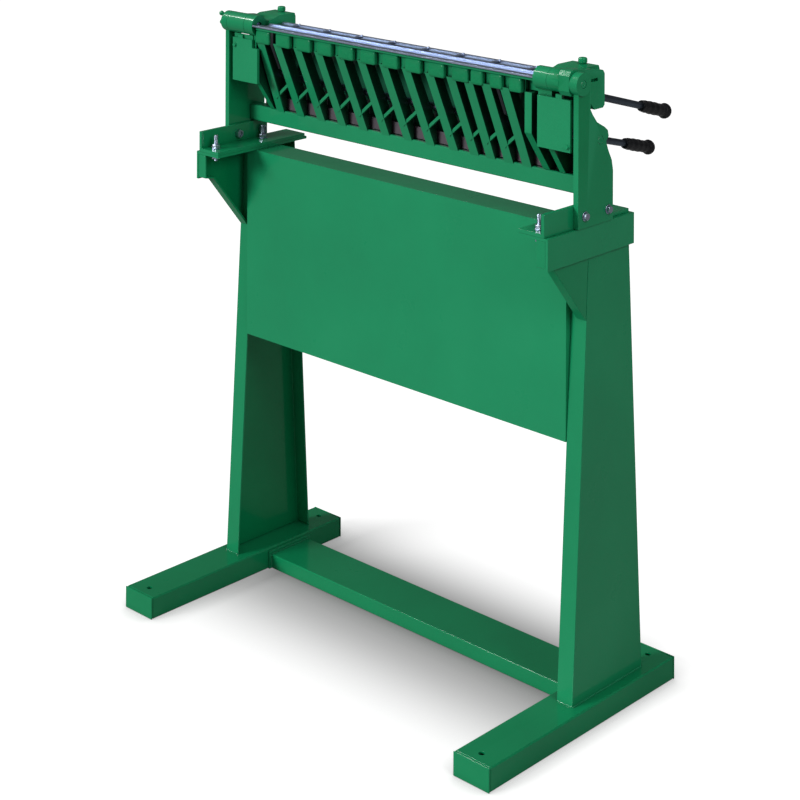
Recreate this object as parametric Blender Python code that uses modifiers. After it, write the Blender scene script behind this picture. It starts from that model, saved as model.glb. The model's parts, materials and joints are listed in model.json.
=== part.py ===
"""Sheet metal brake of the bar folder kind: a floor stand with a ribbed bed,
a fixed folding blade, a clamping jaw and a swinging wing.

Lengths below are millimetres and become metres through MM.  +X runs to the
operator's right, -Y is the operator's side, +Z is up.  The origin is on the
floor under the middle of the whole machine.
"""
import math

import bmesh
import bpy
from mathutils import Matrix, Vector

MM = 0.001
Y_SHIFT = -16.8          # centres the machine, handles included, over the origin
GAP = 0.3                # between neighbours that touch
FIT = 0.35               # radial running clearance of pins and shafts

# --- stand ---------------------------------------------------------------
FOOT_X = (499.0, 600.0)
FOOT_HALF_LENGTH = 330.0
FOOT_HEIGHT = 52.5
FOOT_WALL = 4.0
FOOT_CAP = 4.0
ANCHOR_X, ANCHOR_Y, ANCHOR_R = 549.0, 295.0, 7.0
STRETCHER_Y = (69.0, 203.0)
STRETCHER_TOP = 36.8
LEG_X = (528.8, 572.8)
LEG_WALL = 4.5
LEG_BOTTOM_Y = (-18.0, 238.0)
LEG_TOP_Y = (37.8, 180.5)
LEG_TOP = 1102.3
GUSSET_X = 546.0
RAIL_X = (497.0, 579.7)
RAIL_Y = (-118.5, 192.8)
RAIL_Z = (1038.5, 1109.2)
RAIL_WALL = 6.6
PANEL_HALF = 528.4
PANEL_FRONT = 10.3
PANEL_Z = (620.3, 1102.2)
PANEL_SHEET = 3.0
PANEL_RETURN = 98.0

# --- head frame ----------------------------------------------------------
ANGLE_X = (497.0, 569.4)
ANGLE_Y = (-119.0, 186.0)
ANGLE_WEB_END = 110.0    # behind this only the flat flange is left
ANGLE_Z = (1109.5, 1160.9)
ANGLE_WALL = 8.4
PLATE_X = (569.7, 583.7)
PLATE_BOTTOM = 1110.4
BEAM_Y = (54.3, 90.0)
BEAM_Z = (1164.3, 1206.6)
BEAM_HALF = 569.3

RIB_FIRST_X = -468.0
RIB_PITCH = 75.1
RIB_COUNT_WIDE = 10
RIB_LAST_PITCH = 59.5
RIB_COUNT = 13
RIB_WIDTH = 27.0
KNOB_Y = (-18.0, -4.6)

# --- folding gear --------------------------------------------------------
AXIS_Y, AXIS_Z = -5.0, 1430.0        # fold line, and the wing's pivot
PIN_R = 9.0
BOSS_R = 26.0
HEAD_X = {"left": (-501.0, -468.8), "right": (461.9, 501.0)}
BLADE_X = (-468.2, 461.4)            # between the bearing heads
WING_HALF = 461.3
BOSS_X = 501.7
SHAFT_Y, SHAFT_Z, SHAFT_R = 62.0, 1296.0, 9.0
CAM_R, CAM_THROW = 14.0, 5.0
HANDLE_X = 552.0
HANDLE_SLOPE = math.radians(15.9)
LEVER_SLOPE = math.radians(14.8)

FOLD_AXIS = Vector((0.0, AXIS_Y + Y_SHIFT, AXIS_Z)) * MM
SHAFT_AXIS = Vector((0.0, SHAFT_Y + Y_SHIFT, SHAFT_Z)) * MM

# --- scene ---------------------------------------------------------------
for old in list(bpy.data.objects):
    bpy.data.objects.remove(old, do_unlink=True)

PARTS = bpy.data.collections.new("sheet_metal_brake")
CUTTERS = bpy.data.collections.new("cutters")
bpy.context.scene.collection.children.link(PARTS)
bpy.context.scene.collection.children.link(CUTTERS)


def material(name, rgb, roughness, metallic):
    mat = bpy.data.materials.new(name)
    mat.use_nodes = True
    bsdf = mat.node_tree.nodes["Principled BSDF"]
    bsdf.inputs["Base Color"].default_value = (*rgb, 1.0)
    bsdf.inputs["Roughness"].default_value = roughness
    bsdf.inputs["Metallic"].default_value = metallic
    mat.diffuse_color = (*rgb, 1.0)
    return mat


GREEN = material("green_enamel", (0.020, 0.235, 0.105), 0.35, 0.0)
STEEL = material("ground_steel", (0.62, 0.65, 0.70), 0.28, 1.0)
BLUED = material("blued_steel", (0.16, 0.18, 0.22), 0.32, 1.0)
ZINC = material("zinc_plate", (0.70, 0.72, 0.78), 0.30, 1.0)
GREY = material("raw_bar", (0.30, 0.27, 0.30), 0.55, 1.0)
BLACK = material("black_vinyl", (0.012, 0.012, 0.014), 0.45, 0.0)
SOOT = material("black_paint", (0.010, 0.012, 0.011), 0.60, 0.0)


# --- shape helpers -------------------------------------------------------
def finish(name, mesh, mat, cutter=False, smooth=False):
    obj = bpy.data.objects.new(name, mesh)
    (CUTTERS if cutter else PARTS).objects.link(obj)
    if mat is not None:
        mesh.materials.append(mat)
    if smooth:
        mesh.shade_smooth()
        mesh.set_sharp_from_angle(angle=math.radians(35))
    if cutter:
        obj.hide_render = True
        obj.display_type = 'WIRE'
    return obj


def box(name, x, y, z, mat=None, bevel=0.0, cutter=False, segments=1):
    """A rectangular block between two x, two y and two z values."""
    bm = bmesh.new()
    bmesh.ops.create_cube(bm, size=1.0)
    size = Vector((x[1] - x[0], y[1] - y[0], z[1] - z[0])) * MM
    mid = Vector(((x[0] + x[1]) / 2, (y[0] + y[1]) / 2 + Y_SHIFT, (z[0] + z[1]) / 2)) * MM
    bmesh.ops.scale(bm, vec=size, verts=bm.verts)
    bmesh.ops.translate(bm, vec=mid, verts=bm.verts)
    mesh = bpy.data.meshes.new(name)
    bm.to_mesh(mesh)
    bm.free()
    obj = finish(name, mesh, mat, cutter)
    if bevel:
        mod = obj.modifiers.new("edges", 'BEVEL')
        mod.width = bevel * MM
        mod.segments = segments
        mod.limit_method = 'ANGLE'
    return obj


def cylinder(name, axis, centre, radius, length, mat=None, cutter=False, sides=24,
             radius2=None, turn=0.0):
    """A cylinder or cone along X, Y or Z about its centre."""
    bm = bmesh.new()
    bmesh.ops.create_cone(bm, cap_ends=True, segments=sides, radius1=radius * MM,
                          radius2=(radius if radius2 is None else radius2) * MM,
                          depth=length * MM)
    bmesh.ops.rotate(bm, cent=(0, 0, 0), verts=bm.verts,
                     matrix=Matrix.Rotation(math.pi / sides + turn, 3, 'Z'))
    if axis == 'X':
        rot = Matrix.Rotation(math.pi / 2, 3, 'Y')
    elif axis == 'Y':
        rot = Matrix.Rotation(-math.pi / 2, 3, 'X')
    else:
        rot = Matrix.Identity(3)
    bmesh.ops.rotate(bm, cent=(0, 0, 0), verts=bm.verts, matrix=rot)
    bmesh.ops.translate(bm, verts=bm.verts,
                        vec=Vector((centre[0], centre[1] + Y_SHIFT, centre[2])) * MM)
    mesh = bpy.data.meshes.new(name)
    bm.to_mesh(mesh)
    bm.free()
    return finish(name, mesh, mat, cutter, smooth=True)


def prism(name, outline, x, mat=None, cutter=False):
    """A flat outline in the YZ plane, given as (y, z), extruded from x[0] to x[1]."""
    curve = bpy.data.curves.new(name + "_outline", 'CURVE')
    curve.dimensions = '2D'
    curve.fill_mode = 'BOTH'
    curve.extrude = abs(x[1] - x[0]) / 2 * MM
    spline = curve.splines.new('POLY')
    spline.points.add(len(outline) - 1)
    for point, (y, z) in zip(spline.points, outline):
        point.co = ((y + Y_SHIFT) * MM, z * MM, 0.0, 1.0)
    spline.use_cyclic_u = True
    flat = bpy.data.objects.new(name + "_outline", curve)
    CUTTERS.objects.link(flat)
    # local X -> world Y, local Y -> world Z, local Z -> world X
    place = Matrix(((0, 0, 1, (x[0] + x[1]) / 2 * MM),
                    (1, 0, 0, 0), (0, 1, 0, 0), (0, 0, 0, 1)))
    graph = bpy.context.evaluated_depsgraph_get()
    mesh = bpy.data.meshes.new_from_object(flat.evaluated_get(graph))
    bpy.data.objects.remove(flat, do_unlink=True)
    mesh.transform(place)
    bm = bmesh.new()
    bm.from_mesh(mesh)
    bmesh.ops.remove_doubles(bm, verts=bm.verts, dist=0.00001)
    bmesh.ops.recalc_face_normals(bm, faces=bm.faces)
    bm.to_mesh(mesh)
    bm.free()
    mesh.name = name
    mesh.materials.clear()
    return finish(name, mesh, mat, cutter)


def turned(name, start, slope, profile, mat, sides=20):
    """A body turned about a line in a plane of constant x.

    The line starts at start = (x, y, z) and runs to the rear, dropping by slope.
    profile lists (distance along the line, radius)."""
    mesh = bpy.data.meshes.new(name)
    bm = bmesh.new()
    points = [bm.verts.new((r * MM, 0.0, d * MM)) for d, r in reversed(profile)]
    for a, b in zip(points, points[1:]):
        bm.edges.new((a, b))
    bm.to_mesh(mesh)
    bm.free()
    obj = finish(name, mesh, mat)
    screw = obj.modifiers.new("turn", 'SCREW')
    screw.axis = 'Z'
    screw.steps = sides
    screw.render_steps = sides
    screw.use_merge_vertices = True
    screw.merge_threshold = 0.00001
    screw.use_smooth_shade = True
    # local Z points to the rear and down
    obj.rotation_euler = (-(math.pi / 2 + slope), 0.0, 0.0)
    obj.location = Vector((start[0], start[1] + Y_SHIFT, start[2])) * MM
    return obj


def cut(obj, cutter):
    mod = obj.modifiers.new("cut_" + cutter.name, 'BOOLEAN')
    mod.operation = 'DIFFERENCE'
    mod.solver = 'EXACT'
    mod.object = cutter


def join(obj, other):
    mod = obj.modifiers.new("join_" + other.name, 'BOOLEAN')
    mod.operation = 'UNION'
    mod.solver = 'EXACT'
    mod.object = other


def origin(obj, point):
    """Move an object's origin to a world point, leaving its shape in place."""
    point = Vector(point)
    obj.data.transform(Matrix.Translation(obj.location - point))
    obj.location = point


def both(x, side):
    """An x range on the right, or its mirror image on the left."""
    return (x[0], x[1]) if side > 0 else (-x[1], -x[0])


def arc(cy, cz, radius, a0, a1, steps):
    out = []
    for i in range(steps + 1):
        a = math.radians(a0 + (a1 - a0) * i / steps)
        out.append((cy + radius * math.cos(a), cz + radius * math.sin(a)))
    return out


SIDES = (("left", -1), ("right", 1))

# --- stand ---------------------------------------------------------------
for label, side in SIDES:
    foot = box(label + "_foot", both(FOOT_X, side),
               (-FOOT_HALF_LENGTH + FOOT_CAP + GAP, FOOT_HALF_LENGTH - FOOT_CAP - GAP),
               (0.0, FOOT_HEIGHT), GREEN, bevel=3.0)
    cut(foot, box(label + "_foot_bore",
                  both((FOOT_X[0] + FOOT_WALL, FOOT_X[1] - FOOT_WALL), side),
                  (-400, 400), (FOOT_WALL, FOOT_HEIGHT - FOOT_WALL), cutter=True))
    for end, way in (("front", -1), ("rear", 1)):
        cut(foot, cylinder(f"{label}_{end}_anchor_hole", 'Z',
                           (side * ANCHOR_X, way * ANCHOR_Y, FOOT_HEIGHT / 2),
                           ANCHOR_R, 80, cutter=True, sides=16))
        lo, hi = FOOT_HALF_LENGTH - FOOT_CAP, FOOT_HALF_LENGTH
        box(f"{label}_foot_{end}_cap", both(FOOT_X, side),
            (lo, hi) if way > 0 else (-hi, -lo), (0.0, FOOT_HEIGHT), GREEN, bevel=1.2)

    # tapered channel leg, web outside
    height = LEG_TOP - FOOT_HEIGHT - GAP
    z0, z1 = FOOT_HEIGHT + GAP, LEG_TOP
    leg = prism(label + "_leg",
                [(LEG_BOTTOM_Y[0], z0), (LEG_BOTTOM_Y[1], z0),
                 (LEG_TOP_Y[1], z1), (LEG_TOP_Y[0], z1)], both(LEG_X, side), GREEN)
    inset = LEG_WALL
    cut(leg, prism(label + "_leg_hollow",
                   [(LEG_BOTTOM_Y[0] + inset - 3, z0 - 60), (LEG_BOTTOM_Y[1] - inset + 3, z0 - 60),
                    (LEG_TOP_Y[1] - inset - 3, z1 + 60), (LEG_TOP_Y[0] + inset + 3, z1 + 60)],
                   both((LEG_X[0] - 30, LEG_X[1] - LEG_WALL), side), cutter=True))

    # bracket plate with a folded lip, carrying the front of the top rail
    def leg_front(z):
        t = (z - z0) / (z1 - z0)
        return LEG_BOTTOM_Y[0] + (LEG_TOP_Y[0] - LEG_BOTTOM_Y[0]) * t

    low = 897.0
    gusset = prism(label + "_gusset",
                   [(-118.2, LEG_TOP), (-118.2, 1043.0), (-90.0, 1038.0),
                    (leg_front(low) - 1.0, low), (leg_front(LEG_TOP) - 1.0, LEG_TOP)],
                   both((GUSSET_X, LEG_X[1]), side), GREEN)
    cut(gusset, prism(label + "_gusset_hollow",
                      [(-113.4, LEG_TOP + 30), (-113.4, 1047.0), (-87.6, 1042.4),
                       (leg_front(905.0), 905.0), (60.0, 905.0), (60.0, LEG_TOP + 30)],
                      both((GUSSET_X - 20, LEG_X[1] - 4.8), side), cutter=True))

    rail = box(label + "_top_rail", both(RAIL_X, side), RAIL_Y, RAIL_Z, GREEN)
    cut(rail, box(label + "_rail_inside", both((RAIL_X[0] - 30, RAIL_X[1] - RAIL_WALL), side),
                  (-250, 300), (RAIL_Z[0] - 30, RAIL_Z[1] - RAIL_WALL), cutter=True))

    base = box(label + "_base_angle", both(ANGLE_X, side), ANGLE_Y, ANGLE_Z, GREEN)
    cut(base, box(label + "_base_inside", both((ANGLE_X[0] - 30, ANGLE_X[1] - ANGLE_WALL), side),
                  (-250, 300), (ANGLE_Z[0] + ANGLE_WALL, ANGLE_Z[1] + 40), cutter=True))
    cut(base, box(label + "_base_end_trim", both((ANGLE_X[1] - ANGLE_WALL - 2, ANGLE_X[1] + 9), side),
                  (ANGLE_WEB_END, 300), (ANGLE_Z[0] + ANGLE_WALL, ANGLE_Z[1] + 40), cutter=True))

    # studs that hold the head down on the stand
    for end, away, y in (("front", 535.0, -92.0), ("rear", 538.0, 73.0)):
        x = side * away
        hole = cylinder(f"{label}_{end}_stud_hole", 'Z', (x, y, 1110), 6.8, 60, cutter=True, sides=16)
        cut(rail, hole)
        cut(base, hole)
        stud = cylinder(f"{label}_{end}_hold_down_stud", 'Z', (x, y, 1119.0), 6.0, 66.0, ZINC, sides=16)
        join(stud, cylinder(f"{label}_{end}_stud_top_nut", 'Z', (x, y, 1124.0), 11.0, 11.0,
                            cutter=True, sides=6))
        join(stud, cylinder(f"{label}_{end}_stud_low_nut", 'Z', (x, y, 1096.8), 11.0, 10.0,
                            cutter=True, sides=6))

    # end plate that carries bed, bearings and pivot
    plate = prism(label + "_end_plate",
                  [(-18.0, PLATE_BOTTOM), (108.0, PLATE_BOTTOM), (108.0, 1221.0), (103.5, 1244.0),
                   (90.0, 1270.0), (82.0, 1290.0), (91.5, 1300.0), (88.5, 1314.0), (77.0, 1323.0),
                   (49.0, 1338.0), (34.0, 1356.0), (25.0, 1370.0), (25.0, 1440.0), (15.0, 1449.0),
                   (-5.0, 1449.0), (-18.0, 1420.0)], both(PLATE_X, side), GREEN)
    # eye round the pivot, thicker than the plate
    join(plate, cylinder(label + "_plate_eye", 'X', (side * 577.4, AXIS_Y, AXIS_Z), BOSS_R, 21.2,
                         cutter=True, sides=32))
    cut(plate, cylinder(label + "_plate_pivot_bore", 'X',
                        (side * 576, AXIS_Y, AXIS_Z), PIN_R + FIT, 60, cutter=True))
    cut(plate, cylinder(label + "_plate_shaft_bore", 'X',
                        (side * 576, SHAFT_Y, SHAFT_Z), SHAFT_R + FIT, 60, cutter=True))
    for end, y, z in (("front", 6.4, 1136.5), ("rear", 90.0, 1136.5)):
        hole = cylinder(f"{label}_{end}_plate_bolt_hole", 'X', (side * 572, y, z), 6.6, 60,
                        cutter=True, sides=16)
        cut(plate, hole)
        cut(base, hole)
        bolt = cylinder(f"{label}_{end}_plate_bolt", 'X', (side * 569.0, y, z), 6.0, 32.0, ZINC, sides=16)
        join(bolt, cylinder(f"{label}_{end}_plate_bolt_head", 'X', (side * 588.0, y, z), 10.8, 8.0,
                            cutter=True, sides=6))
        nut = cylinder(f"{label}_{end}_plate_nut", 'X', (side * 555.6, y, z), 10.8, 10.0, ZINC, sides=6)
        cut(nut, cylinder(f"{label}_{end}_nut_bore", 'X', (side * 555.6, y, z), 6.3, 30, cutter=True, sides=16))

    # bearing bracket: a web that stands on the beam, and the head that holds the pivot pin
    web = [(54.6, 1207.0), (77.0, 1207.0), (74.0, 1240.0), (52.0, 1282.0), (44.0, 1312.0)]
    bracket = prism(label + "_bearing_bracket", [(-9.7, 1398.0), (-9.7, 1300.0)] + web + [(18.0, 1398.0)],
                    both((474.0, 490.0), side), GREEN)
    head = HEAD_X[label]
    join(bracket, box(label + "_bracket_neck", head, (-9.7, 16.0), (1388.0, 1424.0), cutter=True))
    join(bracket, cylinder(label + "_bracket_head", 'X', (sum(head) / 2, AXIS_Y, AXIS_Z), BOSS_R,
                           head[1] - head[0], cutter=True, sides=32))
    if side > 0:
        join(bracket, prism("right_inner_web", [(-12.0, 1392.0), (-12.0, 1300.0)] + web + [(17.0, 1392.0)],
                            (424.5, 445.0), cutter=True))
        join(bracket, box("right_web_tie", (444.0, 475.0), (10.0, 17.0), (1372.0, 1391.0), cutter=True))
    cut(bracket, cylinder(label + "_bracket_bore", 'X', (side * 490.0, AXIS_Y, AXIS_Z), PIN_R + FIT, 90,
                          cutter=True))

    pin = cylinder(label + "_pivot_pin", 'X', (side * 531.0, AXIS_Y, AXIS_Z), PIN_R, 112.0, STEEL)
    origin(pin, (side * 0.531, FOLD_AXIS.y, FOLD_AXIS.z))

    if side > 0:
        counter = box("right_counter_plate", (466.0, 560.0), (-18.0, -10.0), (1276.0, 1392.0), GREEN)
    else:
        counter = box("left_counter_plate", (-555.0, -482.0), (-18.0, -10.0), (1282.0, 1393.0), GREEN)
        join(counter, box("left_counter_foot", (-555.0, -462.0), (-17.9, -10.1), (1282.1, 1372.0),
                          cutter=True))
    join(counter, box(label + "_counter_stem", both((518.0, 535.4), side), (-17.5, -10.5), (1390.0, 1401.5),
                      cutter=True))
    if side < 0:
        join(counter, box("left_counter_rebate", (-554.0, -484.0), (-12.5, -10.2), (1388.0, 1403.4),
                          cutter=True))

stretcher = box("stretcher", (-494.0, 494.0), STRETCHER_Y, (0.5, STRETCHER_TOP), GREEN, bevel=2.0)
cut(stretcher, box("stretcher_inside", (-700, 700), (STRETCHER_Y[0] + 4, STRETCHER_Y[1] - 4),
                   (-40, STRETCHER_TOP - 4), cutter=True))
for label, side in SIDES:
    box(label + "_stretcher_plate", both((494.3, 498.7), side), (62.0, 210.0), (0.5, 44.0), GREEN)

panel = box("front_panel", (-PANEL_HALF, PANEL_HALF), (PANEL_FRONT, PANEL_RETURN), PANEL_Z, GREEN)
cut(panel, box("panel_inside", (-700, 700), (PANEL_FRONT + PANEL_SHEET, 200),
               (PANEL_Z[0] + PANEL_SHEET, PANEL_Z[1] - PANEL_SHEET), cutter=True))
cut(panel, box("panel_low_trim", (-700, 700), (PANEL_FRONT + 22, 200), (PANEL_Z[0] - 20, PANEL_Z[0] + 20),
               cutter=True))
for label, side in SIDES:
    cut(panel, box(label + "_panel_notch", both((526.0, 560.0), side), (14.0, 200), (600, 1200), cutter=True))
    join(panel, box(label + "_panel_return", both((525.4, PANEL_HALF), side), (PANEL_FRONT + 0.1, 45.0),
                    (PANEL_Z[0] + 0.1, PANEL_Z[1] - 0.1), cutter=True))

# --- ribbed bed ----------------------------------------------------------
def lean(obj, dx, z_from, z_to):
    """Shift a piece sideways in proportion to its height: nothing at z_from, dx at z_to."""
    for v in obj.data.vertices:
        v.co.x += dx * MM * (v.co.z / MM - z_from) / (z_to - z_from)


bed = box("ribbed_bed", (-BEAM_HALF, BEAM_HALF), BEAM_Y, BEAM_Z, GREEN, bevel=5.0, segments=3)
rib_x = [RIB_FIRST_X + RIB_PITCH * i for i in range(RIB_COUNT_WIDE)]
rib_x += [rib_x[-1] + RIB_LAST_PITCH * (i + 1) - 1.4 * (i + 1) for i in range(RIB_COUNT - RIB_COUNT_WIDE)]
RIB_HEAD = [0.5] + [-13.0] * 8 + [-20.0, -24.0, -28.0, -30.0]      # rib's left edge from its knob's, at the top
RIB_FOOT = [5.0] * 9 + [-5.0, -12.0, -15.0, -18.0]         # and at the beam
for i, x in enumerate(rib_x):
    knob_w = 50.0 if i < RIB_COUNT_WIDE else 36.0
    left = x + RIB_FOOT[i]
    rib = prism(f"rib_{i + 1:02d}", [(-15.0, 1393.4), (13.0, 1393.4), (64.0, 1262.0), (66.0, 1200.0),
                                     (54.9, 1200.0)], (left, left + RIB_WIDTH), cutter=True)
    lean(rib, RIB_HEAD[i] - RIB_FOOT[i], 1206.0, 1393.4)
    join(bed, rib)
    join(bed, box(f"knob_{i + 1:02d}", (x, x + knob_w), KNOB_Y, (1388.0, 1421.0), cutter=True, bevel=5.0,
                  segments=2))
    # slanted strut from this rib to the next
    if i < RIB_COUNT - 1:
        step = rib_x[i + 1] + RIB_FOOT[i + 1] - left
        strut = box(f"strut_{i + 1:02d}", (left + RIB_WIDTH - 14.0, left + step + 8.0), (38.0, 46.0),
                    (1250.0, 1260.0), cutter=True)
        for v in strut.data.vertices:
            v.co.z += 0.85 * (v.co.x - left * MM - RIB_WIDTH * MM)
        join(bed, strut)
join(bed, box("bed_nose", (-460.0, 422.4), (-6.0, 7.6), (1388.4, 1418.0), cutter=True))
for label, x in (("left", (-417.6, -406.4)), ("right", (340.4, 351.9))):
    cut(bed, box(label + "_link_slot", x, (-14.8 if label == "right" else -25.0, 40.0), (1380.0, 1430.0),
                 cutter=True))

box("bed_stiffener_bar", (-470.0, 423.5), (67.0, 77.0), (1207.4, 1236.0), GREY)
box("rear_cover", (-533.0, 533.0), (79.0, 82.0), (1207.2, 1388.0), SOOT)

# --- blade and jaw -------------------------------------------------------
prism("folding_blade", [(-30.0, 1430.6), (-6.6, 1430.6), (-6.6, 1431.0), (-12.0, 1434.4), (-30.0, 1434.4)],
      BLADE_X, STEEL)
box("lower_jaw", BLADE_X, (-19.0, -8.0), (1421.6, 1427.4), GREEN)
CAM_TOP = SHAFT_Z + CAM_R + GAP
LINK = [(-14.0, 1421.2), (-8.5, 1421.2), (-8.5, 1392.0), (27.0, 1327.0), (70.0, 1327.0), (70.0, CAM_TOP),
        (42.0, CAM_TOP), (14.0, 1324.0), (-14.0, 1386.0)]
LINK_X = {"left": (-416.5, -407.5), "right": (341.5, 350.5)}
for label, side in SIDES:
    prism(label + "_jaw_link", LINK, LINK_X[label], BLUED)

shaft = cylinder("clamp_shaft", 'X', (0.0, SHAFT_Y, SHAFT_Z), SHAFT_R, 1166.4, STEEL, sides=20)
for label, side in SIDES:
    mid = sum(LINK_X[label]) / 2
    join(shaft, cylinder(label + "_cam", 'X', (mid, SHAFT_Y - CAM_THROW, SHAFT_Z), CAM_R, 8.8,
                         cutter=True))
origin(shaft, SHAFT_AXIS)
hub = cylinder("clamp_lever_hub", 'X', (HANDLE_X, SHAFT_Y, SHAFT_Z), 20.0, 28.0, GREEN, sides=28)
cut(hub, cylinder("hub_bore", 'X', (HANDLE_X, SHAFT_Y, SHAFT_Z), SHAFT_R + FIT, 60, cutter=True, sides=20))
origin(hub, (HANDLE_X * MM, SHAFT_AXIS.y, SHAFT_AXIS.z))


def along(start, slope, distance):
    return (start[0], start[1] + distance * math.cos(slope), start[2] - distance * math.sin(slope))


LEVER_FROM = (HANDLE_X, SHAFT_Y, SHAFT_Z)
LEVER_GRIP_AT, LEVER_END = 134.0, 243.0
turned("clamp_lever_rod", LEVER_FROM, LEVER_SLOPE,
       [(20.4, 0.0), (20.4, 8.0), (226.0, 8.0), (226.0, 0.0)], BLUED, sides=16)
lever_grip = turned("clamp_lever_grip", LEVER_FROM, LEVER_SLOPE,
                    [(227.0, 0.0), (227.0, 8.4), (LEVER_GRIP_AT, 8.4), (LEVER_GRIP_AT, 12.5),
                     (LEVER_GRIP_AT + 60, 14.5), (LEVER_END - 22, 14.0), (LEVER_END - 18, 17.5),
                     (LEVER_END - 6, 17.5), (LEVER_END, 11.0), (LEVER_END, 0.0)], BLACK)

# --- wing ----------------------------------------------------------------
wing = box("wing_casting", (-WING_HALF, WING_HALF), (8.0, 60.0), (1394.0, 1419.6), GREEN)
join(wing, box("wing_rear_ledge", (-470.0, 470.0), (23.0, 59.0), (1396.0, 1418.0), cutter=True))
for label, side in SIDES:
    join(wing, prism(label + "_wing_block",
                     [(24.0, 1398.0), (118.0, 1404.0), (118.0, 1441.0), (114.5, 1450.0), (60.0, 1450.0),
                      (24.0, 1440.0)], both((462.0, 537.0), side), cutter=True))
    reach = 536.7 if side > 0 else 566.0
    join(wing, cylinder(label + "_wing_boss", 'X', (side * (BOSS_X + reach) / 2, AXIS_Y, AXIS_Z), BOSS_R,
                        reach - BOSS_X, cutter=True, sides=32))
    join(wing, prism(label + "_wing_web", [(-5.0, AXIS_Z - 24.0), (40.0, 1402.0), (40.0, 1449.0),
                                           (-5.0, AXIS_Z + 24.0)],
                     both((BOSS_X + 0.3, 536.5), side), cutter=True))
join(wing, prism("right_wing_arm",
                 [(-30.0, 1414.0), (-30.0, 1448.0), (-22.0, 1458.0), (-8.0, 1461.0), (55.0, 1452.0),
                  (93.0, 1446.0), (99.0, 1438.0), (99.0, 1367.0), (93.0, 1361.0), (62.0, 1361.0),
                  (30.0, 1397.0), (-5.0, 1399.5), (-22.0, 1403.0)], (536.0, 566.0), cutter=True))
cut(wing, box("arm_slot", (556.0, 570.0), (46.0, 74.0), (1424.0, 1431.0), cutter=True))
for label, side in SIDES:
    cut(wing, cylinder(label + "_wing_bore", 'X', (side * 536, AXIS_Y, AXIS_Z), PIN_R + FIT, 90,
                       cutter=True))
origin(wing, FOLD_AXIS)

wing_plate = box("wing_plate", (-461.0, 461.0), (-4.0, 24.0), (1420.0, 1429.5), STEEL)
origin(wing_plate, FOLD_AXIS)
wing_rear_plate = box("wing_rear_plate", (-461.0, 461.0), (24.3, 62.0), (1420.0, 1429.5), BLUED)
origin(wing_rear_plate, FOLD_AXIS)

gauge = box("gauge_bar", (-455.0, 455.0), (62.4, 72.0), (1421.0, 1433.0), STEEL)
join(gauge, box("gauge_front", (-455.0, 455.0), (17.0, 23.0), (1429.9, 1434.5), cutter=True))
for i in range(8):
    x = -395.5 + 113.0 * i
    join(gauge, box(f"gauge_finger_{i + 1}", (x - 6.0, x + 6.0), (20.0, 66.0), (1430.0, 1432.7), cutter=True))
origin(gauge, (0.0, (67.0 + Y_SHIFT) * MM, 1.427))

for label, side in SIDES:
    knob = cylinder(label + "_gauge_knob", 'Z', (side * 500.0, 103.0, 1457.5), 11.0, 14.0, GREEN, sides=12)
    origin(knob, (side * 0.500, (103.0 + Y_SHIFT) * MM, 1.4505))

HANDLE_FROM = (HANDLE_X, 99.0, 1382.5)
HANDLE_GRIP_AT, HANDLE_END = 161.0, 272.0
turned("fold_handle_rod", HANDLE_FROM, HANDLE_SLOPE,
       [(2.6, 0.0), (2.6, 8.5), (254.0, 8.5), (254.0, 0.0)], BLUED, sides=16)
turned("fold_handle_grip", HANDLE_FROM, HANDLE_SLOPE,
       [(255.0, 0.0), (255.0, 8.9), (HANDLE_GRIP_AT, 8.9), (HANDLE_GRIP_AT, 12.5),
        (HANDLE_GRIP_AT + 60, 15.0), (HANDLE_END - 22, 14.5), (HANDLE_END - 18, 18.5),
        (HANDLE_END - 6, 18.5), (HANDLE_END, 11.0), (HANDLE_END, 0.0)], BLACK)

# --- stops on the left end plate -----------------------------------------
stop = cylinder("angle_stop_plunger", 'X', (-594.0, -22.0, 1450.0), 6.5, 10.8, GREEN, sides=16)
origin(stop, (-0.588, (-22.0 + Y_SHIFT) * MM, 1.450))
screw = cylinder("jaw_adjusting_screw", 'X', (-594.0, -20.0, 1427.0), 6.5, 10.8, GREEN, sides=16)
origin(screw, (-0.588, (-20.0 + Y_SHIFT) * MM, 1.427))
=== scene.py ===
"""Looks of the sheet metal brake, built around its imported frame."""
import json
import math

import bmesh
import bpy
from mathutils import Matrix, Vector


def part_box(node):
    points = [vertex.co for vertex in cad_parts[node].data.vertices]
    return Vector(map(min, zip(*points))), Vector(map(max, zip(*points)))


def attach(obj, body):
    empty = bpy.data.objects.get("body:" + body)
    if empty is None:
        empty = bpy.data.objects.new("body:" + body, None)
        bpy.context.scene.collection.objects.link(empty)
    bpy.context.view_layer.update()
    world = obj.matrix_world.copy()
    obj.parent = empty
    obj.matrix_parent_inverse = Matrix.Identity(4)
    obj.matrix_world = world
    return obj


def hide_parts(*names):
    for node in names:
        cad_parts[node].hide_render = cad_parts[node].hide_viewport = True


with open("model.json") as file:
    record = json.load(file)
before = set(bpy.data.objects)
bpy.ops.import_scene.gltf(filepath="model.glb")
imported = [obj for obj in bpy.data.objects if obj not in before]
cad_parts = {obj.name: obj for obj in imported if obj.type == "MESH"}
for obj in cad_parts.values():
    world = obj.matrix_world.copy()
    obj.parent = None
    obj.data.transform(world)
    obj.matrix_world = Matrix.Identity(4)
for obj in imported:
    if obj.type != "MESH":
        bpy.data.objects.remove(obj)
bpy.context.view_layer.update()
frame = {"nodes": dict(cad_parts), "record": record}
NODES = frame["nodes"]
SLOT = {s["node"]: s["material_slot"] for s in frame["record"]["subparts"]}
BODY = {n: b for b, members in frame["record"]["behaviour"]["bodies"].items() for n in members}
MM = 0.001


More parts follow.
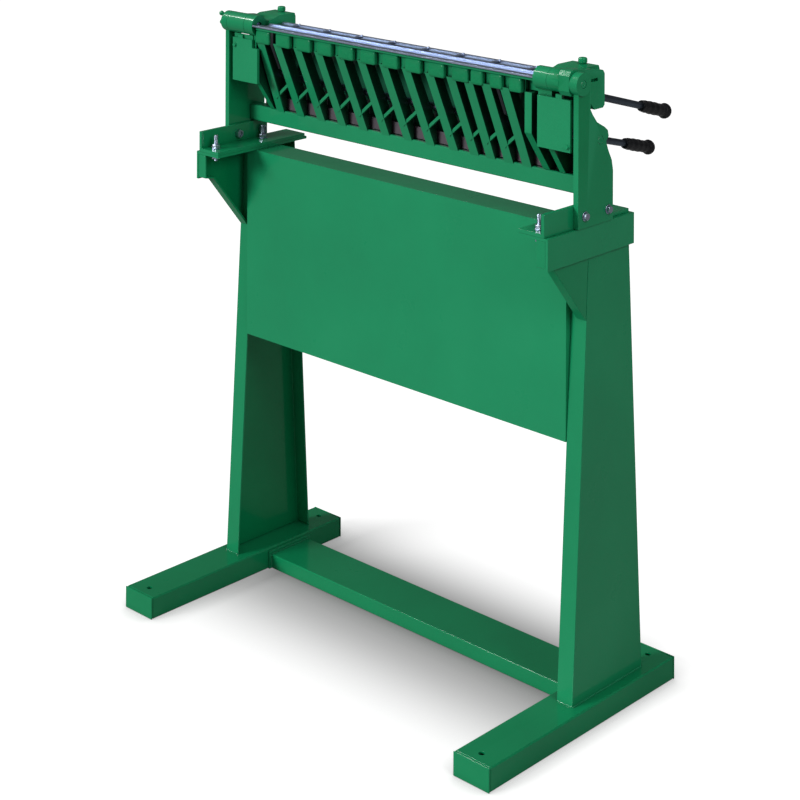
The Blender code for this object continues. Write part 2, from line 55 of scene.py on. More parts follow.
# ------------------------------------------------------------------ materials
class Graph:
    def __init__(self, name):
        self.mat = bpy.data.materials.new(name)
        self.mat.use_nodes = True
        self.t = self.mat.node_tree
        self.t.nodes.clear()
        self.out = self.t.nodes.new("ShaderNodeOutputMaterial")
        self.bsdf = self.t.nodes.new("ShaderNodeBsdfPrincipled")
        self.t.links.new(self.bsdf.outputs[0], self.out.inputs[0])
        self.co = self.t.nodes.new("ShaderNodeTexCoord").outputs["Object"]

    def link(self, a, b):
        self.t.links.new(a, b)

    def noise(self, scale, detail=4.0, rough=0.55, stretch=None, distortion=0.0):
        src = self.co
        if stretch:
            m = self.t.nodes.new("ShaderNodeMapping")
            m.inputs["Scale"].default_value = stretch
            self.link(src, m.inputs["Vector"])
            src = m.outputs[0]
        n = self.t.nodes.new("ShaderNodeTexNoise")
        n.inputs["Scale"].default_value = scale
        n.inputs["Detail"].default_value = detail
        n.inputs["Roughness"].default_value = rough
        n.inputs["Distortion"].default_value = distortion
        self.link(src, n.inputs["Vector"])
        return n.outputs["Fac"]

    def ramp(self, fac, stops):
        r = self.t.nodes.new("ShaderNodeValToRGB")
        while len(r.color_ramp.elements) < len(stops):
            r.color_ramp.elements.new(0.5)
        for e, (p, c) in zip(r.color_ramp.elements, stops):
            e.position = p
            e.color = (*c, 1.0) if len(c) == 3 else c
        self.link(fac, r.inputs["Fac"])
        return r.outputs["Color"]

    def maths(self, op, a, b):
        n = self.t.nodes.new("ShaderNodeMath")
        n.operation = op
        for i, v in enumerate((a, b)):
            if isinstance(v, (int, float)):
                n.inputs[i].default_value = v
            else:
                self.link(v, n.inputs[i])
        return n.outputs[0]

    def fit(self, v, lo, hi, a, b):
        n = self.t.nodes.new("ShaderNodeMapRange")
        n.clamp = True
        for key, val in (("From Min", lo), ("From Max", hi), ("To Min", a), ("To Max", b)):
            n.inputs[key].default_value = val
        self.link(v, n.inputs["Value"])
        return n.outputs[0]

    def mix(self, fac, a, b, mode='MIX'):
        n = self.t.nodes.new("ShaderNodeMix")
        n.data_type = 'RGBA'
        n.blend_type = mode
        for sock, v in ((n.inputs[0], fac), (n.inputs[6], a), (n.inputs[7], b)):
            if isinstance(v, (int, float)):
                sock.default_value = v
            elif isinstance(v, tuple):
                sock.default_value = (*v, 1.0) if len(v) == 3 else v
            else:
                self.link(v, sock)
        return n.outputs[2]

    def bump(self, height, strength, distance, normal=None):
        n = self.t.nodes.new("ShaderNodeBump")
        n.inputs["Strength"].default_value = strength
        n.inputs["Distance"].default_value = distance
        self.link(height, n.inputs["Height"])
        if normal is not None:
            self.link(normal, n.inputs["Normal"])
        return n.outputs[0]

    def edges(self, lo=0.502, hi=0.56):
        g = self.t.nodes.new("ShaderNodeNewGeometry")
        return self.fit(g.outputs["Pointiness"], lo, hi, 0.0, 1.0)

    def occlusion(self, distance):
        n = self.t.nodes.new("ShaderNodeAmbientOcclusion")
        n.samples = 6
        n.inputs["Distance"].default_value = distance
        return n.outputs["AO"]

    def done(self, color, rough, normal=None, metallic=0.0, coat=0.0, coat_rough=0.1, spec=0.5, coat_normal=None):
        b = self.bsdf.inputs
        for sock, v in ((b["Base Color"], color), (b["Roughness"], rough), (b["Metallic"], metallic)):
            if isinstance(v, tuple):
                sock.default_value = (*v, 1.0)
            elif isinstance(v, (int, float)):
                sock.default_value = v
            else:
                self.link(v, sock)
        b["Coat Weight"].default_value = coat
        b["Coat Roughness"].default_value = coat_rough
        b["Specular IOR Level"].default_value = spec
        if normal is not None:
            self.link(normal, b["Normal"])
            self.link(coat_normal if coat_normal is not None else normal, b["Coat Normal"])
        return self.mat


def enamel(name, base=(0.0008, 0.236, 0.084), cast=0.0, deep=0.0):
    """Glossy sprayed enamel on fabricated steel: orange peel, slight colour drift, a painted highlight
    lightening the edges, painted shade darkening the corners.  cast adds the soft grain of a sand casting under the
    paint."""
    g = Graph(name)
    broad = g.noise(3.1, 3.0, 0.5)
    mid = g.noise(38.0, 4.0, 0.6)
    dark = tuple(c * 0.86 for c in base)
    light = (base[0] * 1.25 + 0.004, min(1.0, base[1] * 1.10), base[2] * 1.16)
    color = g.ramp(broad, ((0.30, dark), (0.55, base), (0.75, light)))
    color = g.mix(g.fit(mid, 0.45, 0.75, 0.0, 0.10), color, (base[0] * 1.8, base[1] * 1.25, base[2] * 1.3))
    # painted highlight: convex edges are lightened toward a pale green
    edge = g.edges()
    color = g.mix(g.maths('MULTIPLY', edge, 0.22), color, (0.05, 0.46, 0.24))
    # painted shade: corners and creases are darkened by occlusion
    corner_shade = g.fit(g.occlusion(0.02), 0.25, 0.9, 0.35, 0.0)
    color = g.mix(corner_shade, color, (base[0] * 0.35, base[1] * 0.33, base[2] * 0.36))
    if deep:
        # painted shade between closely spaced ribs: near black where the gaps are deep
        rib_gap_shade = g.fit(g.occlusion(deep), 0.18, 0.62, 0.96, 0.0)
        color = g.mix(rib_gap_shade, color, (0.0004, 0.0012, 0.0010))
        # painted-in shade: the flanks of the ribs are darkened by direction, not by light
        split = g.t.nodes.new("ShaderNodeSeparateXYZ")
        g.link(g.t.nodes.new("ShaderNodeNewGeometry").outputs["Normal"], split.inputs[0])
        flank = g.fit(g.maths('ABSOLUTE', split.outputs[0], 0.0), 0.55, 0.95, 0.0, 0.86)
        high = g.t.nodes.new("ShaderNodeSeparateXYZ")
        g.link(g.co, high.inputs[0])
        low = g.fit(high.outputs[2], 1.212, 1.30, 0.55, 1.0)
        under = g.fit(high.outputs[2], 1.384, 1.392, 1.0, 0.30)
        color = g.mix(g.maths('MULTIPLY', g.maths('MULTIPLY', flank, low), under), color, (0.0005, 0.010, 0.006))
    peel = g.noise(520.0, 2.0, 0.5)
    fine = g.noise(150.0, 3.0, 0.55)
    normal = g.bump(peel, 0.10, 0.0006)
    lacquer = g.bump(peel, 0.05, 0.0004)
    normal = g.bump(fine, 0.05 + 0.25 * cast, 0.0012, normal)
    if cast:
        grain = g.noise(62.0, 5.0, 0.65)
        normal = g.bump(grain, 0.35 * cast, 0.0022, normal)
    rough = g.fit(g.noise(9.0, 4.0, 0.6), 0.3, 0.75, 0.26 + 0.10 * cast, 0.40 + 0.14 * cast)
    return g.done(color, rough, normal, coat=0.62, coat_rough=0.10, spec=0.06, coat_normal=lacquer)


def metal(name, base, rough, lines=(60.0, 1.0, 1.0), streak=0.25, stain=None, scale=60.0):
    """Ground or rolled steel: brushed streaks, cloudy sheen and small stains."""
    g = Graph(name)
    stre = g.noise(scale, 5.0, 0.65, stretch=lines)
    cloud = g.noise(7.0, 4.0, 0.6)
    lo = tuple(c * (1 - streak) for c in base)
    hi = tuple(min(1.0, c * (1 + streak * 0.7)) for c in base)
    color = g.ramp(stre, ((0.3, lo), (0.7, hi)))
    if stain:
        color = g.mix(g.fit(cloud, 0.52, 0.78, 0.0, 0.55), color, stain)
    color = g.mix(g.maths('MULTIPLY', g.edges(), 0.5), color, tuple(min(1, c * 1.6 + 0.08) for c in base))
    r = g.maths('ADD', g.fit(stre, 0.25, 0.75, rough * 0.75, rough * 1.2), g.fit(cloud, 0.3, 0.8, -0.03, 0.08))
    normal = g.bump(stre, 0.12, 0.0004)
    return g.done(color, r, normal, metallic=1.0)


def vinyl(name):
    """Dipped vinyl grip: near black, soft sheen, faint pebbling and lint."""
    g = Graph(name)
    tone = g.noise(24.0, 4.0, 0.6)
    color = g.ramp(tone, ((0.3, (0.004, 0.004, 0.005)), (0.7, (0.011, 0.012, 0.014))))
    dust = g.noise(180.0, 2.0, 0.5)
    color = g.mix(g.fit(dust, 0.66, 0.8, 0.0, 0.12), color, (0.05, 0.05, 0.06))
    normal = g.bump(g.noise(420.0, 2.0, 0.5), 0.18, 0.0008)
    rough = g.fit(tone, 0.3, 0.7, 0.26, 0.42)
    return g.done(color, rough, normal, coat=0.45, coat_rough=0.10, spec=0.15)


MATS = {
    "green_enamel": enamel("green_enamel"),
    "green_cast": enamel("green_cast", cast=1.0),
    "green_ribs": enamel("green_ribs", cast=0.8, deep=0.09),
    "green_dark": enamel("green_dark", base=(0.010, 0.120, 0.055)),
    "ground_steel": metal("ground_steel", (0.33, 0.39, 0.53), 0.34, stain=(0.20, 0.23, 0.32)),
    "blued_steel": metal("blued_steel", (0.110, 0.145, 0.195), 0.32, stain=(0.05, 0.055, 0.075)),
    "zinc_plate": metal("zinc_plate", (0.36, 0.41, 0.52), 0.34, lines=(8.0, 8.0, 8.0), streak=0.15,
                        stain=(0.38, 0.40, 0.50)),
    "raw_bar": metal("raw_bar", (0.12, 0.10, 0.12), 0.50, stain=(0.07, 0.05, 0.06)),
    "black_vinyl": vinyl("black_vinyl"),
    # black_paint is painted shade: the rear cover behind the ribs is coloured near black to stand for the dark hollow
    # between them
    "black_paint": enamel("black_paint", base=(0.002, 0.005, 0.004)),
    "weld": enamel("weld", base=(0.003, 0.20, 0.075), cast=0.6),
    "dark_steel": metal("dark_steel", (0.035, 0.04, 0.05), 0.4, stain=(0.02, 0.02, 0.025)),
}
CASTINGS = {"ribbed_bed", "wing_casting", "left_bearing_bracket", "right_bearing_bracket",
            "left_counter_plate", "right_counter_plate", "clamp_lever_hub"}


# ------------------------------------------------------------ CAD node finish
def soften(obj, width, segments=3, angle=28.0):
    """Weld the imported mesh, dissolve its flat triangles and round every edge."""
    weld = obj.modifiers.new("weld", 'WELD')
    weld.merge_threshold = 0.00002
    flat = obj.modifiers.new("flat", 'DECIMATE')
    flat.decimate_type = 'DISSOLVE'
    flat.angle_limit = math.radians(0.6)
    if width:
        bev = obj.modifiers.new("round", 'BEVEL')
        bev.width = width
        bev.segments = segments
        bev.limit_method = 'ANGLE'
        bev.angle_limit = math.radians(angle)
        bev.use_clamp_overlap = True
        bev.harden_normals = False
    obj.data.shade_smooth()
    nrm = obj.modifiers.new("normals", 'WEIGHTED_NORMAL')
    nrm.keep_sharp = False
    nrm.weight = 60


ROUND = {"foot": 3.0, "cap": 1.2, "leg": 1.6, "gusset": 1.6, "top_rail": 1.5, "base_angle": 1.5,
         "end_plate": 1.2, "stretcher": 2.0, "front_panel": 1.4, "ribbed_bed": 3.0, "wing_casting": 2.4,
         "bearing_bracket": 2.2, "counter_plate": 2.6, "folding_blade": 0.35, "wing_plate": 0.6,
         "lower_jaw": 0.5, "gauge_bar": 0.5, "stud": 0.5, "bolt": 0.6, "nut": 0.5, "pin": 0.8,
         "knob": 1.2, "plunger": 1.5, "screw": 1.5, "rear_cover": 0.8, "stiffener": 0.8, "link": 0.8,
         "shaft": 0.6, "hub": 1.5, "rod": 0.8, "grip": 1.2, "stretcher_plate": 0.8}
for name, obj in NODES.items():
    slot = SLOT[name]
    key = "green_cast" if name in CASTINGS else slot
    if name == "ribbed_bed" or name.endswith("bearing_bracket"):
        key = "green_ribs"
    if name.endswith("jaw_link"):
        key = "dark_steel"
    if not obj.material_slots:
        obj.data.materials.append(MATS[key])
    for s in obj.material_slots:
        s.material = MATS[key]
    width = next((w for k, w in sorted(ROUND.items(), key=lambda kv: -len(kv[0])) if k in name), 0.8)
    soften(obj, width * MM)

# ------------------------------------------------------------- finer pieces
def piece(name, verts, faces, mat, body, slot=None, stands_for=(), angle=32.0, bevel=0.0):
    mesh = bpy.data.meshes.new(name)
    mesh.from_pydata([tuple(v) for v in verts], [], faces)
    mesh.validate()
    bm = bmesh.new()
    bm.from_mesh(mesh)
    bmesh.ops.recalc_face_normals(bm, faces=bm.faces)
    bm.to_mesh(mesh)
    bm.free()
    mesh.shade_smooth()
    mesh.set_sharp_from_angle(angle=math.radians(angle))
    mesh.materials.append(MATS[mat])
    obj = bpy.data.objects.new(name, mesh)
    bpy.context.scene.collection.objects.link(obj)
    if bevel:
        mod = obj.modifiers.new("round", 'BEVEL')
        mod.width, mod.segments, mod.limit_method = bevel, 2, 'ANGLE'
    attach(obj, body)
    if stands_for:
        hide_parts(*stands_for)
    return obj


def turn(rings, start, direction, count=32, side=None):
    """A closed body about a line: rings lists (distance, radius or radius(angle))."""
    d = Vector(direction).normalized()
    u = (Vector(side) if side else d.orthogonal()).normalized()
    w = d.cross(u)
    verts, faces = [], []
    for dist, r in rings:
        for j in range(count):
            a = 2 * math.pi * j / count
            rr = r(a, dist) if callable(r) else r
            verts.append(Vector(start) + d * dist + (u * math.cos(a) + w * math.sin(a)) * rr)
    for i in range(len(rings) - 1):
        for j in range(count):
            k = (j + 1) % count
            faces.append((i * count + j, i * count + k, (i + 1) * count + k, (i + 1) * count + j))
    faces.append(tuple(reversed(range(count))))
    faces.append(tuple(range((len(rings) - 1) * count, len(rings) * count)))
    return verts, faces


def merge(*parts):
    verts, faces = [], []
    for v, f in parts:
        base = len(verts)
        verts += v
        faces += [tuple(i + base for i in q) for q in f]
    return verts, faces


def hexagon(corner):
    flat = corner * math.cos(math.pi / 6)
    return lambda a, dist=0: flat / math.cos((a + math.pi / 6) % (math.pi / 3) - math.pi / 6)


def hex_head(corner, start, direction, height, both_ends=False, side=None):
    """A hexagon with its corners turned off at 30 degrees."""
    R, flat = hexagon(corner), corner * math.cos(math.pi / 6) * 0.97
    low = lambda a, dist: R(a)
    slope = lambda sign, at: (lambda a, dist: R(a))
    rings = []
    if both_ends:
        rings += [(0.0, flat), (0.45 * (corner - flat), low)]
    else:
        rings += [(0.0, low)]
    rings += [(height - 0.55 * (corner - flat), low), (height, flat)]
    return turn(rings, start, direction, 36, side)


def centre(node):
    lo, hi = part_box(node)
    return (lo + hi) / 2


def thread(radius, pitch, depth, length):
    """Rings of a helical ridge."""
    steps = int(length / pitch * 4)
    def r(a, dist):
        phase = (dist / pitch - a / (2 * math.pi)) % 1.0
        return radius - depth * abs(2 * phase - 1)
    return ([(0.0, radius - depth)] + [(0.0006 + (length - 0.0012) * i / steps, r) for i in range(steps + 1)]
            + [(length, radius - depth)])


X, Y, Z = Vector((1, 0, 0)), Vector((0, 1, 0)), Vector((0, 0, 1))
for label, s in (("left", -1.0), ("right", 1.0)):
    for end in ("front", "rear"):
        # hold-down stud: thread, two nuts and a washer
        node = f"{label}_{end}_hold_down_stud"
        lo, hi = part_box(node)
        c = (lo + hi) / 2
        r = 0.006
        top_nut, low_nut = 1.1185, 1.0918
        flange_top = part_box(label + "_base_angle")[0].z + 0.0084
        rail_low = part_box(label + "_top_rail")[1].z - 0.0066
        piece(node + "_threaded",
              *merge(turn(thread(r, 0.00175, 0.0007, hi.z - lo.z), (c.x, c.y, lo.z), Z, 20),
                     hex_head(0.011, (c.x, c.y, top_nut), Z, 0.0105, True),
                     turn([(0, 0.0066), (0, 0.0122), (0.0005, 0.0125), (0.0006, 0.0122), (0.0006, 0.0066)],
                          (c.x, c.y, flange_top + 0.00005), Z, 28),
                     hex_head(0.011, (c.x, c.y, low_nut), Z, 0.0100, True)),
              "zinc_plate", "frame", stands_for=(node,))
        # end plate bolt: head and washer outside
        node = f"{label}_{end}_plate_bolt"
        lo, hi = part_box(node)
        c = (lo + hi) / 2
        out = hi.x if s > 0 else lo.x
        inn = lo.x if s > 0 else hi.x
        plate_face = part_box(label + "_end_plate")
        face = s * 0.5837
        length = abs(face - inn)
        piece(node + "_hex",
              *merge(turn(thread(0.006, 0.00175, 0.0006, length - 0.0004), (inn, c.y, c.z), X * s, 20),
                     turn([(0, 0.0102), (0.0003, 0.0106), (0.0014, 0.0106), (0.0017, 0.0102)],
                          (face + s * 0.0003, c.y, c.z), X * s, 28),
                     hex_head(0.0088, (face + s * 0.0021, c.y, c.z), X * s, abs(out - face) - 0.0021)),
              "zinc_plate", "frame", stands_for=(node,))
    # gauge knob: coarse knurl, domed top
    node = label + "_gauge_knob"
    lo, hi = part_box(node)
    c = (lo + hi) / 2
    R = (hi.x - lo.x) / 2
    lobe = lambda scale: (lambda a, dist: R * scale * (1 - 0.035 * (0.5 + 0.5 * math.cos(18 * a))))
    h = hi.z - lo.z
    piece(node + "_knurled", *turn([(0, R * 0.80), (0.0012, R * 0.86), (0.0022, lobe(0.97)), (0.0034, lobe(1.0)),
                                    (h - 0.0042, lobe(1.0)), (h - 0.0022, lobe(0.955)), (h - 0.0008, R * 0.80),
                                    (h - 0.0002, R * 0.55), (h, R * 0.25)], (c.x, c.y, lo.z), Z, 108),
          "green_enamel", label + "_knob", stands_for=(node,))
    # pivot pin end: chamfer and centre hole
    lo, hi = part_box(label + "_pivot_pin")
    c = (lo + hi) / 2
    tip = s * max(abs(lo.x), abs(hi.x))
    piece(label + "_pin_centre", *turn([(0, 0.0088), (0.0008, 0.0078), (0.0008, 0.0030), (-0.0012, 0.0008)],
                                       (tip + s * 0.0001, c.y, c.z), X * s, 40),
          "green_enamel", "frame")
    # screws on the counter plate
    lo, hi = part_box(label + "_counter_plate")
    spots = ([(0.552, lo.z + 0.012)] if s > 0 else [(-0.547, hi.z - 0.030)])
    for i, (x, z) in enumerate(spots):
        piece(f"{label}_counter_screw_{i + 1}",
              *merge(turn([(0, 0.0068), (0.0006, 0.0070), (0.0012, 0.0068)], (x, lo.y - 0.0001, z), -Y, 28),
                     hex_head(0.0050, (x, lo.y - 0.0014, z), -Y, 0.0032)),
              "green_enamel", "frame")


# pillowed pads over the bed's knobs
def pillow(x0, x1, z0, z1, y_back, y_front, radius, n=7):
    """A block with rounded edges and a crowned front: rings of a rounded rectangle from back to front."""
    cx, cz, hx, hz = (x0 + x1) / 2, (z0 + z1) / 2, (x1 - x0) / 2, (z1 - z0) / 2
    verts, faces = [], []
    def ring(inset, y):
        r = max(radius - inset, 0.0004)
        out = []
        for qx, qz, a0 in ((1, 1, 0), (-1, 1, 90), (-1, -1, 180), (1, -1, 270)):
            for k in range(n):
                a = math.radians(a0 + 90 * k / (n - 1))
                out.append(Vector((cx + qx * (hx - radius) + r * math.cos(a), y, cz + qz * (hz - radius) + r * math.sin(a))))
        return out
    depth = y_back - y_front
    rows = [ring(0.0, y_back)]
    for k in range(7):
        a = math.pi / 2 * k / 6
        rows.append(ring(radius * 0.80 * (1 - math.cos(a)), y_front + radius * 0.80 * (1 - math.sin(a)) + 0.0004))
    rows.append(ring(radius * 1.25, y_front))
    count = len(rows[0])
    for r in rows:
        verts += r
    for i in range(len(rows) - 1):
        for j in range(count):
            k = (j + 1) % count
            faces.append((i * count + j, i * count + k, (i + 1) * count + k, (i + 1) * count + j))
    faces.append(tuple(reversed(range(count))))
    faces.append(tuple(range((len(rows) - 1) * count, len(rows) * count)))
    return verts, faces


nose_low, nose_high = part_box("ribbed_bed")
front = nose_low.y
for i in range(13):
    x = (-468.0 + 75.1 * i) if i < 10 else (207.9 + 58.1 * (i - 9))
    w = 50.0 if i < 10 else 36.0
    piece(f"bed_knob_{i + 1:02d}",
          *pillow((x - 0.8) * MM, (x + w + 0.8) * MM, 1.3872, min(nose_high.z + 0.0002, 1.4213), front + 0.0090,
                  front - 0.0016, 0.0062), "green_cast", "frame", slot="green_enamel", angle=50)


# weld beads on the stand
def bead(name, points, radius, body="frame"):
    """A rippled fillet along a line of points."""
    pts = [Vector(p) for p in points]
    verts, faces, count, ring = [], [], 8, 0
    rows = []
    for a, b in zip(pts, pts[1:]):
        n = max(2, int((b - a).length / 0.0016))
        for i in range(n + (b is pts[-1])):
            t = i / n
            rows.append((a.lerp(b, t), (b - a).normalized(), (a - b).length * t))
    for p, d, dist in rows:
        u = d.orthogonal().normalized()
        w = d.cross(u)
        wob = 1.0 + 0.13 * math.sin(dist / 0.0052 * 2 * math.pi) + 0.07 * math.sin(dist / 0.031 * 2 * math.pi)
        edge = 0.55 if ring in (0, len(rows) - 1) else 1.0
        ring += 1
        for j in range(count):
            a = 2 * math.pi * j / count
            verts.append(p + (u * math.cos(a) + w * math.sin(a)) * radius * wob * edge)
    for i in range(len(rows) - 1):
        for j in range(count):
            k = (j + 1) % count
            faces.append((i * count + j, i * count + k, (i + 1) * count + k, (i + 1) * count + j))
    faces.append(tuple(reversed(range(count))))
    faces.append(tuple(range((len(rows) - 1) * count, len(rows) * count)))
    return piece(name, verts, faces, "weld", body, slot="green_enamel", angle=60)


for label, s in (("left", -1.0), ("right", 1.0)):
    lo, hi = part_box(label + "_leg")
    foot_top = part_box(label + "_foot")[1].z
    outer = s * max(abs(lo.x), abs(hi.x))
    inner = s * min(abs(lo.x), abs(hi.x))
    bead(label + "_leg_foot_weld", [(inner, lo.y + 0.001, foot_top + 0.0006), (outer, lo.y + 0.001, foot_top + 0.0006),
                                    (outer, hi.y - 0.001, foot_top + 0.0006), (inner, hi.y - 0.001, foot_top + 0.0006)],
         0.0024)
    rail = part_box(label + "_top_rail")
    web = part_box(label + "_gusset")
    plo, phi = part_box(label + "_stretcher_plate")
    face = s * 0.4943
    for tag, y in (("front", 0.069 - 0.0168), ("rear", 0.203 - 0.0168)):
        bead(f"{label}_stretcher_{tag}_weld", [(face - s * 0.0002, y, 0.003), (face - s * 0.0002, y, 0.0355)], 0.0022)
    bead(f"{label}_stretcher_top_weld", [(face - s * 0.0002, 0.0712 - 0.0168, 0.0370),
                                         (face - s * 0.0002, 0.2008 - 0.0168, 0.0370)], 0.0022)
    bead(f"{label}_plate_foot_weld", [(s * 0.4988, plo.y + 0.002, phi.z - 0.0005), (s * 0.4988, phi.y - 0.002, phi.z - 0.0005)],
         0.0018)


# painted ends of the clamp shaft in the end plates
slo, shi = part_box("clamp_shaft")
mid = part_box("clamp_lever_hub")
hub = (mid[0] + mid[1]) / 2
for label, s, tip in (("left", -1.0, slo.x), ("right", 1.0, shi.x)):
    piece(label + "_shaft_end", *turn([(0, 0.0087), (0.0006, 0.0080), (0.0007, 0.0030), (0.0004, 0.0012)],
                                      (tip + s * 0.0001, hub.y, hub.z), X * s, 36), "green_enamel", "clamp")


# rods with a collar at the root, and ribbed grips with a ball end
def rod_line(node, slope):
    lo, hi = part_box(node)
    r = (hi.x - lo.x) / 2
    first = Vector(((lo.x + hi.x) / 2, lo.y + r * math.sin(slope), hi.z - r * math.cos(slope)))
    last = Vector(((lo.x + hi.x) / 2, hi.y - r * math.sin(slope), lo.z + r * math.cos(slope)))
    return first, last, r


for name, body, slope in (("fold_handle", "wing", 0.27751), ("clamp_lever", "clamp", 0.25831)):
    a, b, r = rod_line(name + "_rod", slope)
    d = (b - a).normalized()
    L = (b - a).length
    piece(name + "_rod_turned", *turn([(0, r), (0.004, r), (0.0045, r * 0.99), (L - 0.002, r * 0.99), (L, r * 0.9)],
                                      a, d, 40), "blued_steel", body, stands_for=(name + "_rod",))
    glo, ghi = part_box(name + "_grip")
    g0 = (glo.y + 0.0125 * math.sin(slope) - a.y) / d.y
    g1 = (ghi.y - 0.0110 * math.sin(slope) - a.y) / d.y
    G = g1 - g0
    R = (ghi.x - glo.x) / 2
    bore = r + 0.0004
    rings = [(0.0, bore), (0.0, R * 0.60), (0.0010, R * 0.68), (0.0030, R * 0.71)]
    n = 40
    for i in range(n + 1):
        t = i / n
        at = 0.0040 + t * (G - 0.030)
        swell = 0.70 + 0.07 * math.sin(math.pi * min(1.0, t * 1.05)) + 0.03 * t
        groove = 0.045 * (0.5 - 0.5 * math.cos(2 * math.pi * 4 * t)) * (1 if 0.04 < t < 0.96 else 0)
        rings.append((at, R * (swell + groove)))
    rings += [(G - 0.0240, R * 0.78), (G - 0.0205, R * 0.92)]
    for i in range(9):
        a_ = math.pi / 2 * i / 8
        rings.append((G - 0.0165 + 0.0165 * math.sin(a_), max(R * 0.08, R * (0.10 + 0.89 * math.cos(a_)))))
    grip = piece(name + "_grip_dipped", *turn(rings, a + d * g0, d, 48), "black_vinyl", body,
                 stands_for=(name + "_grip",))

# stop knobs: domed, with a waist
for node, body in (("angle_stop_plunger", "stop"), ("jaw_adjusting_screw", "jaw_screw")):
    lo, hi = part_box(node)
    c = (lo + hi) / 2
    R, h = (hi.z - lo.z) / 2, hi.x - lo.x
    piece(node + "_domed", *turn([(0, R * 0.62), (0.0028, R * 0.62), (0.0032, R * 0.9), (0.0042, R * 0.99),
                                  (h - 0.0032, R * 0.99), (h - 0.0014, R * 0.86), (h - 0.0004, R * 0.6), (h, R * 0.2)],
                                 (hi.x, c.y, c.z), -X, 36), "green_enamel", body, stands_for=(node,))

# screws on the gauge bar
glo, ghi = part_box("gauge_bar")
for i in range(8):
    x = (-395.5 + 113.0 * i) * MM
    piece(f"gauge_screw_{i + 1}", *merge(
        turn([(0, 0.0031), (0.0016, 0.0031), (0.0021, 0.0026), (0.0021, 0.0012), (0.0014, 0.0009)],
             (x, ghi.y - 0.0046, ghi.z - 0.00145), Z, 24)), "zinc_plate", "gauge")

# -------------------------------------------------------------- camera, light
YAW, PITCH, ROLL = 0.75753, 0.00376, 0.00383
EYE = Vector((3.2743, -3.4570, 2.3181))
cam_data = bpy.data.cameras.new("camera")
cam_data.lens = 88.70
cam_data.sensor_width = 36.0
cam_data.sensor_fit = 'HORIZONTAL'
cam_data.clip_end = 60.0
camera = bpy.data.objects.new("camera", cam_data)
bpy.context.scene.collection.objects.link(camera)
camera.location = EYE
ahead = Vector((-math.sin(YAW), math.cos(YAW), 0.0))
right = Vector((math.cos(YAW), math.sin(YAW), 0.0))
ahead, up = (ahead * math.cos(PITCH) - Vector((0, 0, math.sin(PITCH))),
             Vector((0, 0, math.cos(PITCH))) + ahead * math.sin(PITCH))
right, up = right * math.cos(ROLL) + up * math.sin(ROLL), up * math.cos(ROLL) - right * math.sin(ROLL)
camera.rotation_euler = Matrix((right, up, -ahead)).transposed().to_euler()
bpy.context.scene.camera = camera
# a view camera with its lens shifted down keeps the uprights parallel; the shift belongs to this stand point only
drive = cam_data.driver_add("shift_y").driver
drive.type = 'SCRIPTED'
var = drive.variables.new()
var.name = "z"
var.targets[0].id = camera
var.targets[0].data_path = "location[2]"
drive.expression = "-0.88938 if abs(z - %.4f) < 0.0005 else 0.0" % EYE.z

world = bpy.data.worlds.new("studio")
bpy.context.scene.world = world
world.use_nodes = True
wn = world.node_tree
bg = wn.nodes["Background"]
bg.inputs["Color"].default_value = (1.0, 1.0, 1.0, 1.0)
# the room is darker in reflections than in its fill light, as between softboxes
paths = wn.nodes.new("ShaderNodeLightPath")
level = wn.nodes.new("ShaderNodeMapRange")
level.inputs["To Min"].default_value = 0.22
level.inputs["To Max"].default_value = 0.09
wn.links.new(paths.outputs["Is Glossy Ray"], level.inputs["Value"])
wn.links.new(level.outputs[0], bg.inputs["Strength"])


def lamp(name, kind, loc, target, power, color=(1, 1, 1), size=None, angle=None):
    data = bpy.data.lights.new(name, kind)
    data.energy = power
    data.color = color
    if size:
        data.shape = 'RECTANGLE'
        data.size, data.size_y = size
    if angle:
        data.angle = math.radians(angle)
    obj = bpy.data.objects.new(name, data)
    bpy.context.scene.collection.objects.link(obj)
    obj.location = loc
    obj.rotation_euler = (Vector(target) - Vector(loc)).to_track_quat('-Z', 'Y').to_euler()
    return obj


lamp("key", 'SUN', (-1.5, -4.0, 2.3), (0, 0, 0.6), 2.20, angle=20)
lamp("side", 'AREA', (3.4, -0.8, 3.2), (0.3, 0, 1.2), 50, size=(1.8, 1.8))
lamp("strip", 'AREA', (0.4, -0.2, 3.6), (0, 0, 1.2), 8, size=(2.4, 0.8))
gloss = lamp("gloss", 'AREA', (-2.1, -1.0, 3.5), (0, 0, 1.3), 80, size=(1.0, 1.0))
gloss.visible_diffuse = False          # seen only as a highlight on edges and round parts

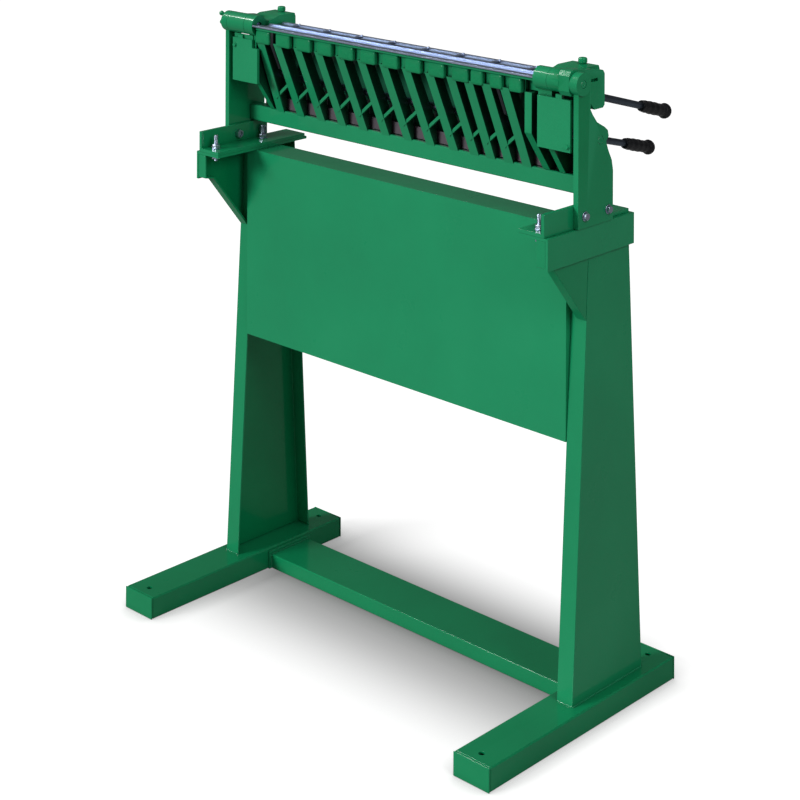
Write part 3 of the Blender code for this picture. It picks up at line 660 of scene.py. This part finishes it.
floor_mesh = bpy.data.meshes.new("floor")
bm = bmesh.new()
bmesh.ops.create_grid(bm, x_segments=2, y_segments=2, size=14.0)
bm.to_mesh(floor_mesh)
bm.free()
floor = bpy.data.objects.new("floor", floor_mesh)
bpy.context.scene.collection.objects.link(floor)
floor.location.z = -0.0004
fg = Graph("pale_floor")
seen = fg.t.nodes.new("ShaderNodeLightPath").outputs["Is Camera Ray"]
tone = fg.ramp(fg.noise(1.2, 2.0, 0.5), ((0.3, (0.90, 0.90, 0.90)), (0.7, (0.93, 0.93, 0.93))))
# painted shadow: a dim band under and along the stretcher, and painted contact shade round the feet
sep = fg.t.nodes.new("ShaderNodeSeparateXYZ")
fg.link(fg.co, sep.inputs[0])
bar_lo, bar_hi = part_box("stretcher")
mid_y, half_y = (bar_lo.y + bar_hi.y) / 2, (bar_hi.y - bar_lo.y) / 2
off = fg.maths('MAXIMUM', fg.maths('SUBTRACT', fg.maths('ABSOLUTE', fg.maths('SUBTRACT', sep.outputs[1], mid_y), 0.0),
                                   half_y), 0.0)
behind = fg.maths('GREATER_THAN', sep.outputs[1], mid_y)
soft = fg.maths('DIVIDE', off, fg.maths('SUBTRACT', 0.26, fg.maths('MULTIPLY', behind, 0.06)))
band = fg.maths('EXPONENT', fg.maths('MULTIPLY', fg.maths('MULTIPLY', soft, soft), -1.0), 0.0)
along_x = fg.fit(fg.maths('ABSOLUTE', sep.outputs[0], 0.0), 0.46, 0.62, 1.0, 0.0)
dim = fg.maths('MULTIPLY', fg.maths('MULTIPLY', band, along_x), 0.70)
contact = fg.fit(fg.occlusion(0.07), 0.50, 0.95, 0.62, 1.0)
near = fg.maths('MULTIPLY', fg.maths('SUBTRACT', 1.0, dim), contact)
fg.link(fg.maths('MULTIPLY', fg.maths('MULTIPLY', seen, 0.86), near), fg.bsdf.inputs["Emission Strength"])
fg.bsdf.inputs["Emission Color"].default_value = (1, 1, 1, 1)
tone = fg.mix(near, (0.03, 0.03, 0.03), fg.mix(0.5, tone, (0.0, 0.0, 0.0)))
floor_mesh.materials.append(fg.done(fg.mix(seen, (0.35, 0.35, 0.35), tone), 0.7, spec=0.05))

view = bpy.context.scene.view_settings
view.view_transform = 'Standard'
view.look = 'None'
view.exposure = 0.0
view.gamma = 1.0
